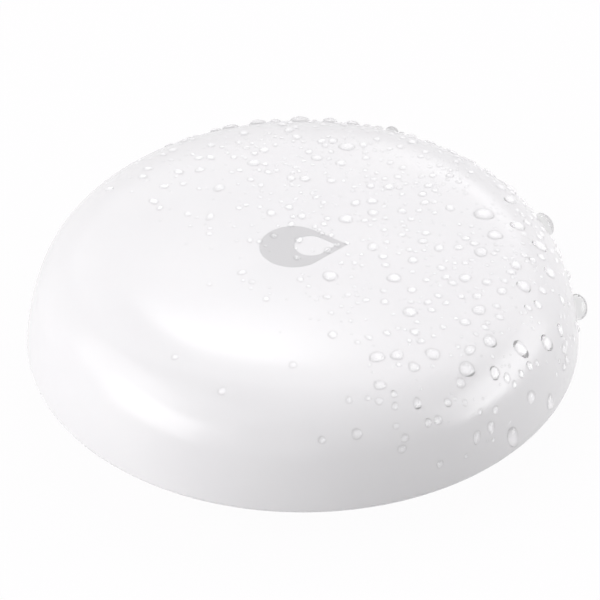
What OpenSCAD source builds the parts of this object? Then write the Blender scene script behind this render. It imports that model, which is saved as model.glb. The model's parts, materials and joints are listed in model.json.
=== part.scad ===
// Round water leak sensor: a domed cover that presses a switch, on a sealed base with a coin cell,
// two probes underneath and a battery door that twists off with a coin.
// Sizes are in millimetres. +Z is up and the origin is on the floor, under the middle of the base.

/* [Body] */
// Diameter over the widest edge of the cover
body_d = 50; // [48.5:0.5:60]
// Height from the floor to the top of the crown
body_h = 15; // [14.5:0.1:18]
// Radius of the crown in its middle
crown_r = 300; // [240:10:400]
// Depth of the crown's edge below its middle
crown_drop = 2.2; // [1.9:0.1:2.6]
// Lean of the crown's edge from level, in degrees
crown_lean = 38; // [34:1:42]
// Radius of the shoulder between crown and flank
shoulder_r = 7; // [6:0.1:8]
// Lean of the flank from upright where it meets the shoulder, in degrees
shoulder_lean = 19; // [16:1:22]
// Lean of the flank from upright at the widest edge, in degrees
flank_lean = 4.5; // [3:0.5:7]
// Height of the widest edge above the floor
rim_z = 4.6; // [4.4:0.1:5.2]
// Rounding of the widest edge
edge_r = 0.5; // [0.3:0.05:0.6]

/* [Cover] */
// Wall of the cover
cover_wall = 1.6; // [1.2:0.1:1.9]
// Distance from the widest edge in to the bore of the skirt
skirt_inset = 3.4; // [3.2:0.1:3.8]
// Skirt left above the snap beads
skirt_lip = 0.6; // [0.4:0.1:1]
// Width of the groove that cores out the rim behind the skirt
core_w = 0.6; // [0.4:0.05:0.8]
// Depth of that groove
core_h = 2.2; // [1:0.1:2.6]
// Diameter of the post over the switch
post_d = 3; // [2.4:0.1:3.4]
// Thickness of the ribs round the post
rib_t = 0.8; // [0.6:0.1:1.1]
// Depth of the ribs under the ceiling
rib_h = 1.2; // [0.6:0.1:1.6]
// Reach of the ribs from the middle
rib_reach = 6; // [4:0.5:9]
// Number of ribs
rib_count = 4; // [4]
// How far the cover travels when it is pressed
press_travel = 0.3; // [0.2:0.05:0.4]

/* [Snap and cover seal] */
// How far the snap beads stand in from the skirt
bead_out = 0.35; // [0.25:0.05:0.45]
// Height of a snap bead
bead_h = 0.8; // [0.6:0.1:1]
// Arc of a snap bead, in degrees
bead_arc = 40; // [20:1:70]
// Number of snap beads
bead_count = 3; // [2:1:4]
// Section of the cover's sealing ring
cover_seal_d = 1; // [0.8:0.05:1.1]
// Skirt below the seal's groove
seal_lead = 0.45; // [0.3:0.05:0.8]
// Spigot wall between the seal's groove and the snap groove
seal_web = 0.6; // [0.4:0.1:0.9]

/* [Base] */
// Height of the underside above the floor
standoff = 1; // [0.8:0.1:1.2]
// Thickness of the base's floor
base_floor = 1.6; // [1.2:0.1:1.9]
// Diameter of the flat underside
base_flat_d = 37.6; // [36.5:0.1:39]
// Rounding between underside and side
base_edge_r = 1.5; // [0.8:0.1:2]
// Distance from the widest edge in to the base's flange
flange_inset = 2.1; // [1.7:0.1:2.5]
// Wall of the spigot that carries the cover
spigot_wall = 1.8; // [1.6:0.1:2.1]
// Spigot left above the snap groove
spigot_lip = 1; // [0.7:0.1:1.3]
// Lead-in chamfer at the top of the spigot
spigot_lead = 0.4; // [0.2:0.05:0.6]

/* [Battery door] */
// Thickness of the door
door_t = 2; // [1.8:0.1:2.2]
// Door left outside its lugs
door_rim = 0.8; // [0.6:0.05:1]
// Chamfer round the door's lower edge
door_bevel = 0.3; // [0.1:0.05:0.4]
// Wall of the door's plug
plug_wall = 1; // [0.8:0.1:1.2]
// How far a lug stands out from the plug
lug_out = 0.8; // [0.6:0.05:1]
// Height of a lug
lug_h = 0.8; // [0.6:0.05:1]
// Arc of a lug, in degrees
lug_arc = 30; // [20:1:34]
// Number of lugs
lug_count = 3; // [3]
// Turn from locked to free, in degrees
door_twist = 40; // [36:1:44]
// Height of the ledge that the lugs hook over
ledge_h = 0.9; // [0.7:0.1:1.1]
// Thickness of the roof over the lug channels
roof_h = 0.9; // [0.6:0.1:1.1]
// Wall of the collar round the door
collar_wall = 1.2; // [0.9:0.1:1.3]
// Wall of the battery well above the collar
well_wall = 1.2; // [0.8:0.1:1.4]
// Section of the door's sealing ring
door_seal_d = 0.9; // [0.7:0.05:1]
// Width of the coin slot
slot_w = 1.8; // [1.4:0.1:2.4]
// Length of the coin slot
slot_l = 14; // [10:0.5:18]
// Depth of the coin slot
slot_depth = 1.1; // [0.8:0.1:1.3]

/* [Coin cell] */
// Diameter of the cell
cell_d = 20; // [19:0.1:20.6]
// Height of the cell
cell_h = 3.2; // [3:0.1:3.5]
// Wall of the cell's can
can_wall = 0.25; // [0.2:0.05:0.3]
// Width of the crimp that folds in over the gasket
can_crimp = 0.75; // [0.6:0.05:0.9]
// Thickness of the ring between can and cap
cell_ring_t = 0.25; // [0.2:0.05:0.35]
// How far the cap stands above the can
cap_rise = 0.2; // [0.1:0.05:0.3]

/* [Circuit board] */
// Thickness of the board
board_t = 1; // [0.8:0.1:1.2]
// Room for the spring contact between cell and board
contact_room = 0.85; // [0.75:0.05:1]
// Thickness of the contact strips
strip_t = 0.2; // [0.15:0.05:0.25]
// Width of the spring contact under the board
negative_w = 2.4; // [1.6:0.1:3.2]
// Reach of the spring contact's two leaves
leaf_reach = 6; // [5:0.1:7]
// Width of the contact at the side of the cell
positive_w = 3; // [2:0.1:3.4]
// How far below the top of the cell that contact touches
contact_drop = 0.65; // [0.55:0.05:0.75]
// Tail of that contact below where it touches
contact_tail = 0.4; // [0.3:0.05:0.5]
// How far that contact springs in from its bend
contact_spring = 0.8; // [0.6:0.1:1]
// Length of its tab under the board
contact_tab = 2; // [1.4:0.1:2.6]
// Diameter of the posts that carry the board
board_post_d = 3.4; // [2.8:0.1:3.8]
// Diameter of the pins that locate the board
board_pin_d = 1.4; // [1:0.1:1.8]
// Height of those pins above the board
board_pin_h = 0.5; // [0.3:0.1:0.8]
// Side of the radio chip
radio_w = 6; // [5:0.1:7]
// Height of the chips
chip_h = 0.9; // [0.7:0.05:1.2]
// Length of a chip resistor or capacitor
passive_l = 1.6; // [1:0.1:1.8]
// Width and height of a chip resistor or capacitor
passive_w = 0.8; // [0.5:0.05:0.9]
// Width of the antenna's track
track_w = 0.6; // [0.4:0.1:0.8]
// Thickness of the antenna's track
track_t = 0.05; // [0.04:0.01:0.1]
// Gap between the antenna's legs
track_gap = 1.2; // [0.8:0.1:1.4]
// Legs of the antenna's meander
track_legs = 7; // [5:2:9]
// Depth of the antenna's meander
track_depth = 3.6; // [2.4:0.1:4]
// Distance of the antenna's middle from the edge of the board
track_edge = 3; // [2.6:0.1:3.6]

/* [Light] */
// Length of the indicator
led_l = 2; // [1.6:0.1:2.2]
// Length of the indicator's lens
led_lens_l = 1.2; // [0.8:0.1:1.4]
// Width of the indicator
led_w = 1.25; // [0.8:0.05:1.6]
// Height of the indicator
led_h = 0.7; // [0.5:0.05:0.9]
// Distance of the indicator from the middle
led_x = 4.8; // [4.6:0.1:5.4]
// Diameter of the light pipe
pipe_d = 3; // [2.4:0.1:3.2]
// Gap left between pipe and indicator when the cover is pressed
pipe_clear = 0.3; // [0.2:0.05:0.6]
// Wall of the pipe's socket
socket_wall = 0.9; // [0.7:0.05:1]
// Depth of the pipe's socket under the ceiling
socket_h = 2; // [1:0.1:2.4]
// Cover left over the light pipe
window_t = 0.7; // [0.5:0.05:0.9]

/* [Switch] */
// Side of the switch
switch_w = 4.5; // [4.3:0.1:4.9]
// Bevel at the switch's corners
switch_corner = 0.55; // [0.3:0.05:0.8]
// Height of the switch's body
switch_h = 1.6; // [1.4:0.1:1.8]
// Thickness of the switch's top plate
switch_plate_t = 0.2; // [0.15:0.05:0.3]
// Diameter of the stem
stem_d = 2.4; // [2:0.1:2.6]
// How far the stem stands out of the switch
stem_out = 1.3; // [0.8:0.1:1.7]
// Width of the stem's flange
stem_flange = 0.4; // [0.3:0.05:0.5]
// Thickness of the stem's flange
stem_flange_t = 0.4; // [0.3:0.05:0.5]
// Floor of the switch's body
switch_floor = 0.4; // [0.3:0.05:0.45]
// Length of a terminal
terminal_l = 0.9; // [0.6:0.1:1.2]
// Width of a terminal
terminal_w = 0.7; // [0.5:0.05:0.9]

/* [Probes and feet] */
// Diameter of a probe's stem
probe_d = 2.8; // [2.6:0.1:3]
// Diameter of a probe's head
probe_head_d = 4.4; // [4.2:0.1:4.7]
// Height of a probe's head below the base
probe_head_h = 0.5; // [0.3:0.05:0.6]
// Rise of the rounding on a probe's head
probe_dome_h = 0.2; // [0.1:0.05:0.25]
// Wall of the boss round a probe
probe_boss_wall = 1.1; // [0.8:0.1:1.3]
// Section of a probe's sealing ring
probe_seal_d = 0.5; // [0.4:0.02:0.54]
// Depth of the threaded hole in a probe
probe_hole_h = 3.4; // [3.2:0.1:3.8]
// Diameter of the board screws
screw_d = 1.8; // [1.6:0.1:1.9]
// Length of a board screw below its head
screw_l = 4; // [3:0.1:4.1]
// Diameter of a screw's head
screw_head_d = 3.6; // [3:0.1:3.8]
// Height of a screw's head
screw_head_h = 1.2; // [0.9:0.1:1.4]
// Length of the cross in a screw's head
cross_l = 2; // [1.6:0.1:2.4]
// Width of the cross in a screw's head
cross_w = 0.45; // [0.3:0.05:0.6]
// Diameter of a foot
foot_d = 3.4; // [2.8:0.1:3.8]
// Depth of a foot's seat in the base
foot_sink = 0.5; // [0.3:0.1:0.8]
// Rounding of a foot's lower edge
foot_edge_r = 0.25; // [0.1:0.05:0.4]
// Number of feet
foot_count = 3; // [3]

/* [Clearances] */
// Between sliding walls of cover and base
slide_gap = 0.2; // [0.15:0.05:0.25]
// Between a sealing ring and its walls
seal_gap = 0.05; // [0.03:0.01:0.08]
// Between a sealing ring and the sides of its groove
groove_side_gap = 0.15; // [0.1:0.05:0.2]
// Between pieces that are pushed together
fit_gap = 0.05; // [0.03:0.01:0.08]
// Between faces that meet under load
seat_gap = 0.02; // [0.01:0.01:0.04]
// Below the cover when it is pressed
press_gap = 0.15; // [0.1:0.05:0.2]
// Behind a snap bead in its groove
bead_gap = 0.2; // [0.1:0.05:0.3]
// Between the ends of a bead or lug and its groove, in degrees
turn_gap = 1; // [0.5:0.5:2]
// Between the door and the base
door_gap = 0.15; // [0.1:0.05:0.2]
// Above and below the lugs
lug_gap = 0.1; // [0.06:0.02:0.14]
// Round the cell
cell_gap = 0.25; // [0.2:0.05:0.3]
// Between the board and the spigot
board_gap = 0.4; // [0.3:0.05:0.6]
// Between the board and the tops of well and bosses
board_room = 0.5; // [0.4:0.05:0.6]
// Round a screw or pin in the board
hole_gap = 0.2; // [0.1:0.05:0.25]

/* [Hidden] */
$fn = 96;
// Steps of the arcs in the turned outlines
crown_steps = 20;
shoulder_steps = 8;
flank_steps = 4;
edge_steps = 8;
// How far a cutter runs past the face it opens
over = 1;

// Cover: a crown that falls off ever faster, a shoulder arc and a flank arc, each in line with the next,
// down to the rounded widest edge
body_r = body_d / 2;
cover_z = rim_z - edge_r;
ceiling_z = body_h - cover_wall;
flank_n = [cos(flank_lean), sin(flank_lean)];
shoulder_n = [cos(shoulder_lean), sin(shoulder_lean)];
crown_n = [sin(crown_lean), cos(crown_lean)];
edge_c = [body_r - edge_r, rim_z];
flank_p = edge_c + edge_r * flank_n;
flank_rise = body_h - crown_drop - shoulder_r * (crown_n.y - shoulder_n.y) - flank_p.y;
flank_r = flank_rise / (shoulder_n.y - flank_n.y);
flank_c = flank_p - flank_r * flank_n;
shoulder_c = flank_c + (flank_r - shoulder_r) * shoulder_n;
crown_p = shoulder_c + shoulder_r * crown_n;
crown_sag = crown_p.x * crown_p.x / (2 * crown_r);
crown_fall = crown_drop - crown_sag;
fall_power = (crown_p.x * tan(crown_lean) - 2 * crown_sag) / crown_fall;

// Skirt, seal and snap, from the cover's lower face up
skirt_r = body_r - skirt_inset;
spigot_r = skirt_r - slide_gap;
spigot_in_r = spigot_r - spigot_wall;
seal_groove_h = cover_seal_d + 2 * groove_side_gap;
seal_groove_z = cover_z + seal_lead;
seal_groove_r = skirt_r - cover_seal_d - 2 * seal_gap;
snap_z = seal_groove_z + seal_groove_h + seal_web;
bead_z = snap_z + press_travel + press_gap;
bead_top_z = bead_z + bead_h;
snap_top_z = bead_top_z + fit_gap;
snap_r = skirt_r - bead_out - bead_gap;
skirt_top_z = bead_top_z + skirt_lip;
spigot_top_z = snap_top_z + spigot_lip;
bead_root = 0.5;

// Base
floor_z = standoff + base_floor;
flange_r = body_r - flange_inset;
flange_z = cover_z - press_travel - press_gap;
base_flat_r = base_flat_d / 2;
base_edge_c = [base_flat_r, standoff + base_edge_r];
to_flange = [flange_r, flange_z] - base_edge_c;
base_side_a = atan2(to_flange.y, to_flange.x) - acos(base_edge_r / norm(to_flange));

// Battery door and the bayonet that holds it, outwards from the cell and upwards from the door
well_r = cell_d / 2 + cell_gap;
plug_r = well_r + plug_wall;
lug_r = plug_r + lug_out;
door_r = lug_r + door_rim;
recess_r = door_r + door_gap;
collar_r = recess_r + collar_wall;
ledge_r = plug_r + slide_gap;
channel_r = lug_r + slide_gap;
door_top_z = standoff + door_t;
ledge_z = door_top_z + lug_gap;
channel_z = ledge_z + ledge_h;
lug_z = channel_z + lug_gap;
lug_top_z = lug_z + lug_h;
channel_top_z = lug_top_z + lug_gap;
roof_top_z = channel_top_z + roof_h;
door_seal_r = recess_r - door_seal_d - 2 * seal_gap;
door_groove_h = door_seal_d + 2 * groove_side_gap;
slot_cut_r = (pow(slot_l / 2, 2) + slot_depth * slot_depth) / (2 * slot_depth);
// Middle of the first lug when locked: it leaves the side of the cell at +Y free for the contact
lug_place = 50;

// Coin cell, cap upwards
cell_r = cell_d / 2;
cell_z = door_top_z + fit_gap;
cell_top_z = cell_z + cell_h;
can_h = cell_h - cap_rise;
crimp_r = cell_r - can_crimp;
cap_r = crimp_r - cell_ring_t - 2 * seat_gap;
can_edge = 0.3;

// Board and what stands on it
board_z = cell_top_z + contact_room;
board_top_z = board_z + board_t;
board_r = spigot_in_r - board_gap;
well_out_r = well_r + well_wall;
well_top_z = board_z - board_room;
// Circle of the probes, feet and board posts: midway from the door's recess out to the spigot or to the
// edge of the underside, whichever is nearer
ring_r = (recess_r + min(base_flat_r, spigot_in_r)) / 2;
post_angles = [90, 210, 330];
foot_angles = [for (i = [0 : foot_count - 1]) 30 + i * 360 / foot_count];
led_top_z = board_top_z + led_h;
switch_top_z = board_top_z + switch_h;
plate_top_z = switch_top_z + switch_plate_t;
stem_top_z = plate_top_z + stem_out;
flange_room_r = stem_d / 2 + stem_flange + fit_gap;
post_z = stem_top_z + seat_gap;
pipe_hole_r = pipe_d / 2 + fit_gap;
pipe_z = led_top_z + press_travel + pipe_clear;
pipe_top_z = body_h - window_t - seat_gap;

// Middle lines of the spring contact under the board and of the contact at the side of the cell
leaf_z = board_z - strip_t / 2;
leaf_touch_z = cell_top_z + seat_gap + strip_t / 2;
leaf_root = 1.6;
leaf_lift = 0.25;
leaf_tip = 0.9;
contact_touch_r = cell_r + fit_gap + strip_t / 2;
contact_touch_z = cell_top_z - contact_drop;
contact_tip_z = contact_touch_z - contact_tail;
contact_slot_w = positive_w + 2 * slide_gap;
contact_bend_r = contact_touch_r + contact_spring;
contact_slot_r = contact_bend_r + 2 * strip_t + slide_gap;

// Places of the parts on the board, from its middle
radio_at = [-8.6, 4.4];
radio_dot_d = 0.75;
radio_dot_in = 1.1;
radio_dot_h = 0.1;
memory_at = [9, -6.4];
memory_size = [4, 3.6];
memory_leg = [0.4, 0.9, 0.2];
memory_pitch = 1;
crystal_at = [-8.6, -2.6];
crystal_size = [3.2, 2.5];
crystal_base_h = 0.35;
crystal_lid_h = 0.4;
crystal_lid_inset = 0.25;
passive_at = [[-3.6, 6.2], [-3.6, 8.4], [-6.4, 10.2], [-9.6, 10.2], [-12.6, 8], [-13.6, 4.6],
              [-5.2, -3.6], [-12.2, -2.6], [6.6, 4.8], [9.4, 4.8], [8, 7.2], [11.2, 7.2],
              [5, -6], [5, -8.4], [-3, -8.6]];
antenna_y = track_edge - board_r;
antenna_pitch = track_w + track_gap;

// Probes
probe_tip_z = standoff - probe_head_h;
probe_dome_r = (pow(probe_head_d / 2, 2) + probe_dome_h * probe_dome_h) / (2 * probe_dome_h);
probe_bore_r = probe_d / 2 + fit_gap;
probe_boss_r = probe_bore_r + probe_boss_wall;
probe_seat_r = probe_d / 2 + probe_seal_d + 2 * seal_gap;
probe_seat_h = probe_seal_d + groove_side_gap;
screw_hole_r = screw_d / 2 + fit_gap;

// Points of an arc round c, from angle a0 to a1, in n steps, from the given step on
function arc(c, r, a0, a1, n, first = 0) =
  [for (i = [first : n]) let (a = a0 + (a1 - a0) * i / n) c + r * [cos(a), sin(a)]];

// Rectangle of a section, from radius r0 to r1 and height z0 to z1
module band(r0, r1, z0, z1) {
  translate([r0, z0]) square([r1 - r0, z1 - z0]);
}

// Arc of a turned section, with its middle at angle a
module turned_arc(a, arc) {
  rotate(a - arc / 2) rotate_extrude(angle = arc) children();
}

// Radius of the flank at height z, for a surface that lies inset below the outer one
function flank_x(z, inset) = flank_c.x + sqrt(pow(flank_r - inset, 2) - pow(z - flank_c.y, 2));

// Point of the crown of such a surface, under radius r of the outer one
function crown_point(r, inset) =
  let (part = r / crown_p.x,
       z = body_h - r * r / (2 * crown_r) - crown_fall * pow(part, fall_power),
       slope = r / crown_r + crown_fall * fall_power * pow(part, fall_power - 1) / crown_p.x)
  [r, z] - inset * [slope, 1] / norm([slope, 1]);

// Crown of such a surface from its edge to the middle, with closer points where it falls off faster
function crown(inset) =
  [for (i = [1 : crown_steps]) crown_point(crown_p.x * pow(1 - i / crown_steps, 1 / 3), inset)];

// Flank, shoulder and crown of such a surface, from the given step of the flank up to the middle
function dome(inset, first = 0) =
  concat(arc(flank_c, flank_r - inset, flank_lean, shoulder_lean, flank_steps, first),
         arc(shoulder_c, shoulder_r - inset, shoulder_lean, 90 - crown_lean, shoulder_steps, 1),
         crown(inset));

module cover_section() {
  difference() {
    polygon(concat([[0, cover_z]], arc(edge_c, edge_r, -90, flank_lean, edge_steps), dome(0, 1)));
    hollow_section();
    core_section();
  }
}

// Hollow of the cover: the bore of the skirt, and the room under the dome above it
module hollow_section() {
  band(0, skirt_r, cover_z - over, skirt_top_z + over);
  intersection() {
    polygon(concat([[0, cover_z]], dome(cover_wall)));
    band(0, body_r, skirt_top_z, body_h + over);
  }
}

// Groove that keeps the rim behind the skirt from being thick
module core_section() {
  low_z = cover_z - over;
  top_z = cover_z + core_h;
  low_x = flank_x(low_z, cover_wall);
  top_x = flank_x(top_z, cover_wall);
  polygon([[low_x - core_w, low_z], [low_x, low_z], [top_x, top_z], [top_x - core_w, top_z]]);
}

// Snap beads: flat above, sloped below so that the cover pushes on
module snap_beads() {
  in_r = skirt_r - bead_out;
  for (i = [0 : bead_count - 1])
    turned_arc(i * 360 / bead_count, bead_arc)
      polygon([[skirt_r + bead_root, bead_z - bead_root], [in_r, bead_z + bead_out], [in_r, bead_top_z],
               [skirt_r + bead_root, bead_top_z]]);
}

module top_cover() {
  root_z = ceiling_z + cover_wall / 2;
  rib_z = max(ceiling_z - rib_h, post_z);
  socket_z = ceiling_z - socket_h;
  color("white")
    difference() {
      union() {
        rotate_extrude() cover_section();
        snap_beads();
        translate([0, 0, post_z]) cylinder(d = post_d, h = root_z - post_z);
        for (i = [0 : rib_count - 1])
          rotate((i + 0.5) * 360 / rib_count)
            translate([0, -rib_t / 2, rib_z]) cube([rib_reach, rib_t, root_z - rib_z]);
        translate([led_x, 0, socket_z]) cylinder(r = pipe_hole_r + socket_wall, h = root_z - socket_z);
      }
      translate([led_x, 0, socket_z - over])
        cylinder(r = pipe_hole_r, h = body_h - window_t - socket_z + over);
    }
}

module base_section() {
  difference() {
    union() {
      difference() {
        polygon(concat([[0, standoff]], arc(base_edge_c, base_edge_r, -90, base_side_a, edge_steps),
                       [[flange_r, flange_z], [0, flange_z]]));
        band(0, spigot_in_r, floor_z, flange_z + over);
      }
      polygon([[spigot_in_r, floor_z], [spigot_r, floor_z], [spigot_r, spigot_top_z - spigot_lead],
               [spigot_r - spigot_lead, spigot_top_z], [spigot_in_r, spigot_top_z]]);
      band(0, collar_r, standoff, roof_top_z);
      band(0, well_out_r, standoff, well_top_z);
    }
    band(seal_groove_r, spigot_r + over, seal_groove_z, seal_groove_z + seal_groove_h);
  }
}

// Battery bay: the recess of the door, the bore past the ledge and the well of the cell
module bay_section() {
  band(0, recess_r, standoff - over, ledge_z);
  band(0, ledge_r, standoff - over, channel_top_z);
  band(0, well_r, standoff - over, well_top_z + over);
}

// Channels that the lugs turn in, each with a notch at its free end to let the lug out
module bayonet_channels() {
  channel_arc = lug_arc + door_twist + 2 * turn_gap;
  notch_arc = lug_arc + 2 * turn_gap;
  for (i = [0 : lug_count - 1]) {
    a = lug_place + i * 360 / lug_count;
    turned_arc(a - door_twist / 2, channel_arc) band(well_r, channel_r, channel_z, channel_top_z);
    turned_arc(a - door_twist, notch_arc) band(well_r, channel_r, ledge_z - over, channel_top_z);
  }
}

module at_probes() {
  for (s = [-1, 1])
    translate([s * ring_r, 0, 0]) children();
}

module at_posts() {
  for (a = post_angles)
    rotate(a) translate([ring_r, 0, 0]) children();
}

module at_feet() {
  for (a = foot_angles)
    rotate(a) translate([ring_r, 0, 0]) children();
}

module base_housing() {
  root_z = floor_z - base_floor / 2;
  boss_top_z = board_z - board_room;
  color("whitesmoke")
    difference() {
      union() {
        rotate_extrude() base_section();
        at_probes() translate([0, 0, root_z]) cylinder(r = probe_boss_r, h = boss_top_z - root_z);
        at_posts() {
          translate([0, 0, root_z]) cylinder(d = board_post_d, h = board_z - root_z);
          translate([0, 0, root_z]) cylinder(d = board_pin_d, h = board_top_z + board_pin_h - root_z);
        }
      }
      rotate_extrude() bay_section();
      bayonet_channels();
      for (i = [0 : bead_count - 1])
        turned_arc(i * 360 / bead_count, bead_arc + 2 * turn_gap)
          band(snap_r, spigot_r + over, snap_z, snap_top_z);
      at_probes() {
        translate([0, 0, standoff - over]) cylinder(r = probe_bore_r, h = board_z);
        translate([0, 0, standoff - over]) cylinder(r = probe_seat_r, h = probe_seat_h + over);
      }
      at_feet()
        translate([0, 0, standoff - over]) cylinder(r = foot_d / 2 + fit_gap, h = foot_sink + over);
      translate([-contact_slot_w / 2, well_r - over, contact_tip_z - slide_gap])
        cube([contact_slot_w, contact_slot_r - well_r + over, well_top_z]);
    }
}

// Plain sealing ring of section d, against a wall of radius wall_r outside it
module sealing_ring(wall_r, d, z) {
  rotate_extrude() translate([wall_r - seal_gap - d / 2, z]) circle(d = d);
}

module cover_seal() {
  color("dimgray") sealing_ring(skirt_r, cover_seal_d, seal_groove_z + seal_groove_h / 2);
}

module door_section() {
  mid_z = standoff + door_t / 2;
  difference() {
    union() {
      polygon([[0, standoff], [door_r - door_bevel, standoff], [door_r, standoff + door_bevel],
               [door_r, door_top_z], [0, door_top_z]]);
      band(well_r, plug_r, standoff + door_t / 2, lug_top_z);
    }
    band(door_seal_r, door_r + over, mid_z - door_groove_h / 2, mid_z + door_groove_h / 2);
  }
}

module battery_door() {
  color("whitesmoke")
    difference() {
      union() {
        rotate_extrude() door_section();
        for (i = [0 : lug_count - 1])
          turned_arc(lug_place + i * 360 / lug_count, lug_arc)
            band(plug_r - plug_wall / 2, lug_r, lug_z, lug_top_z);
      }
      translate([0, slot_w / 2, standoff + slot_depth - slot_cut_r])
        rotate([90, 0, 0]) cylinder(r = slot_cut_r, h = slot_w);
    }
}

module door_seal() {
  color("dimgray") sealing_ring(recess_r, door_seal_d, standoff + door_t / 2);
}

module feet() {
  foot_r = foot_d / 2;
  color("gainsboro")
    at_feet()
      rotate_extrude()
        polygon(concat([[0, 0]], arc([foot_r - foot_edge_r, foot_edge_r], foot_edge_r, -90, 0, edge_steps),
                       [[foot_r, standoff + foot_sink], [0, standoff + foot_sink]]));
}

module sensing_probes() {
  color("silver")
    at_probes()
      difference() {
        rotate_extrude() {
          intersection() {
            translate([0, probe_tip_z + probe_dome_r]) circle(probe_dome_r);
            band(0, probe_head_d / 2, probe_tip_z, standoff);
          }
          band(0, probe_d / 2, standoff - probe_head_h / 2, board_z);
        }
        translate([0, 0, board_z - probe_hole_h]) cylinder(r = screw_hole_r, h = probe_hole_h + over);
      }
}

module probe_seals() {
  color("dimgray")
    at_probes() sealing_ring(probe_seat_r, probe_seal_d, standoff + probe_seat_h / 2);
}

module board_screws() {
  color("lightgray")
    at_probes()
      difference() {
        union() {
          translate([0, 0, board_top_z - screw_l]) cylinder(d = screw_d, h = screw_l + screw_head_h / 2);
          translate([0, 0, board_top_z]) cylinder(d = screw_head_d, h = screw_head_h);
        }
        for (a = [0, 90])
          translate([0, 0, board_top_z + screw_head_h])
            rotate(a) cube([cross_l, cross_w, screw_head_h], center = true);
      }
}

module circuit_board() {
  color("darkgreen")
    difference() {
      translate([0, 0, board_z]) cylinder(r = board_r, h = board_t);
      at_probes()
        translate([0, 0, board_z - over]) cylinder(r = screw_d / 2 + hole_gap, h = board_t + 2 * over);
      at_posts()
        translate([0, 0, board_z - over]) cylinder(r = board_pin_d / 2 + hole_gap, h = board_t + 2 * over);
    }
}

// Block of size [x, y] and height h on the board, with its middle at p
module on_board(p, size, h) {
  translate([p.x - size.x / 2, p.y - size.y / 2, board_top_z]) cube([size.x, size.y, h]);
}

module radio_chip() {
  dot_at = radio_at + (radio_w / 2 - radio_dot_in) * [-1, 1];
  color("dimgray")
    difference() {
      on_board(radio_at, [radio_w, radio_w], chip_h);
      translate([dot_at.x, dot_at.y, board_top_z + chip_h - radio_dot_h])
        cylinder(d = radio_dot_d, h = over);
    }
}

module memory_chip() {
  leg_y = (memory_size.y + memory_leg.y) / 2;
  color("dimgray") {
    on_board(memory_at, memory_size, chip_h);
    for (i = [-1.5 : 1.5], s = [-1, 1])
      on_board(memory_at + [i * memory_pitch, s * leg_y], [memory_leg.x, memory_leg.y], memory_leg.z);
  }
}

module crystal() {
  lid = crystal_size - 2 * crystal_lid_inset * [1, 1];
  color("silver") {
    on_board(crystal_at, crystal_size, crystal_base_h);
    on_board(crystal_at, lid, crystal_base_h + crystal_lid_h);
  }
}

module passives() {
  color("tan")
    for (p = passive_at)
      on_board(p, [passive_l, passive_w], passive_w);
}

// Track that runs back and forth along the edge of the board
module antenna_trace() {
  first_x = -antenna_pitch * (track_legs - 1) / 2;
  turn_y = (track_depth - track_w) / 2;
  color("goldenrod") {
    for (i = [0 : track_legs - 1])
      on_board([first_x + i * antenna_pitch, antenna_y], [track_w, track_depth], track_t);
    for (i = [0 : track_legs - 2])
      on_board([first_x + (i + 0.5) * antenna_pitch, antenna_y + (i % 2 == 0 ? turn_y : -turn_y)],
               [antenna_pitch + track_w, track_w], track_t);
  }
}

module indicator_led() {
  color("ivory") {
    on_board([led_x, 0], [led_l, led_w], led_h / 2);
    on_board([led_x, 0], [led_lens_l, led_w], led_h);
  }
}

module light_pipe() {
  color("aliceblue") translate([led_x, 0, pipe_z]) cylinder(d = pipe_d, h = pipe_top_z - pipe_z);
}

module switch_body() {
  half = switch_w / 2;
  corner = half - switch_corner;
  color("dimgray")
    difference() {
      translate([0, 0, board_top_z])
        linear_extrude(switch_h)
          polygon([[-corner, -half], [corner, -half], [half, -corner], [half, corner],
                   [corner, half], [-corner, half], [-half, corner], [-half, -corner]]);
      translate([0, 0, board_top_z + switch_floor]) cylinder(r = flange_room_r, h = switch_h);
    }
}

module switch_plate() {
  side = switch_w - 2 * switch_plate_t;
  tab_h = switch_h / 2;
  tab_w = side / 2;
  tab_l = switch_w / 2 + switch_plate_t;
  color("silver")
    difference() {
      union() {
        translate([-side / 2, -side / 2, switch_top_z]) cube([side, side, switch_plate_t]);
        for (s = [0, 180])
          rotate(s) {
            translate([0, -tab_w / 2, switch_top_z]) cube([tab_l, tab_w, switch_plate_t]);
            translate([switch_w / 2, -tab_w / 2, switch_top_z - tab_h])
              cube([switch_plate_t, tab_w, tab_h + switch_plate_t]);
          }
      }
      translate([0, 0, switch_top_z - over])
        cylinder(r = stem_d / 2 + fit_gap, h = switch_plate_t + 2 * over);
    }
}

module switch_terminals() {
  out_y = (switch_w + terminal_l) / 2;
  in_x = (switch_w - terminal_w) / 2 - switch_corner;
  color("silver")
    for (x = [-in_x, in_x], s = [-1, 1])
      on_board([x, s * out_y], [terminal_w, terminal_l], switch_plate_t);
}

module switch_stem() {
  foot_z = switch_top_z - seat_gap - stem_flange_t;
  color("ivory") {
    translate([0, 0, foot_z]) cylinder(r = stem_d / 2 + stem_flange, h = stem_flange_t);
    translate([0, 0, foot_z]) cylinder(d = stem_d, h = stem_top_z - foot_z);
  }
}

// Strip of thickness t along the points p
function unit(v) = v / norm(v);
function left(v) = [-v.y, v.x];
function strip_side(p, t, s) =
  [for (i = [0 : len(p) - 1])
    let (a = left(unit(p[max(i, 1)] - p[max(i, 1) - 1])),
         b = left(unit(p[min(i + 1, len(p) - 1)] - p[min(i, len(p) - 2)])),
         m = unit(a + b))
    p[i] + s * t / 2 / (m * a) * m];
function reversed(p) = [for (i = [len(p) - 1 : -1 : 0]) p[i]];
module strip(p, t) {
  polygon(concat(strip_side(p, t, 1), reversed(strip_side(p, t, -1))));
}

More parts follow.
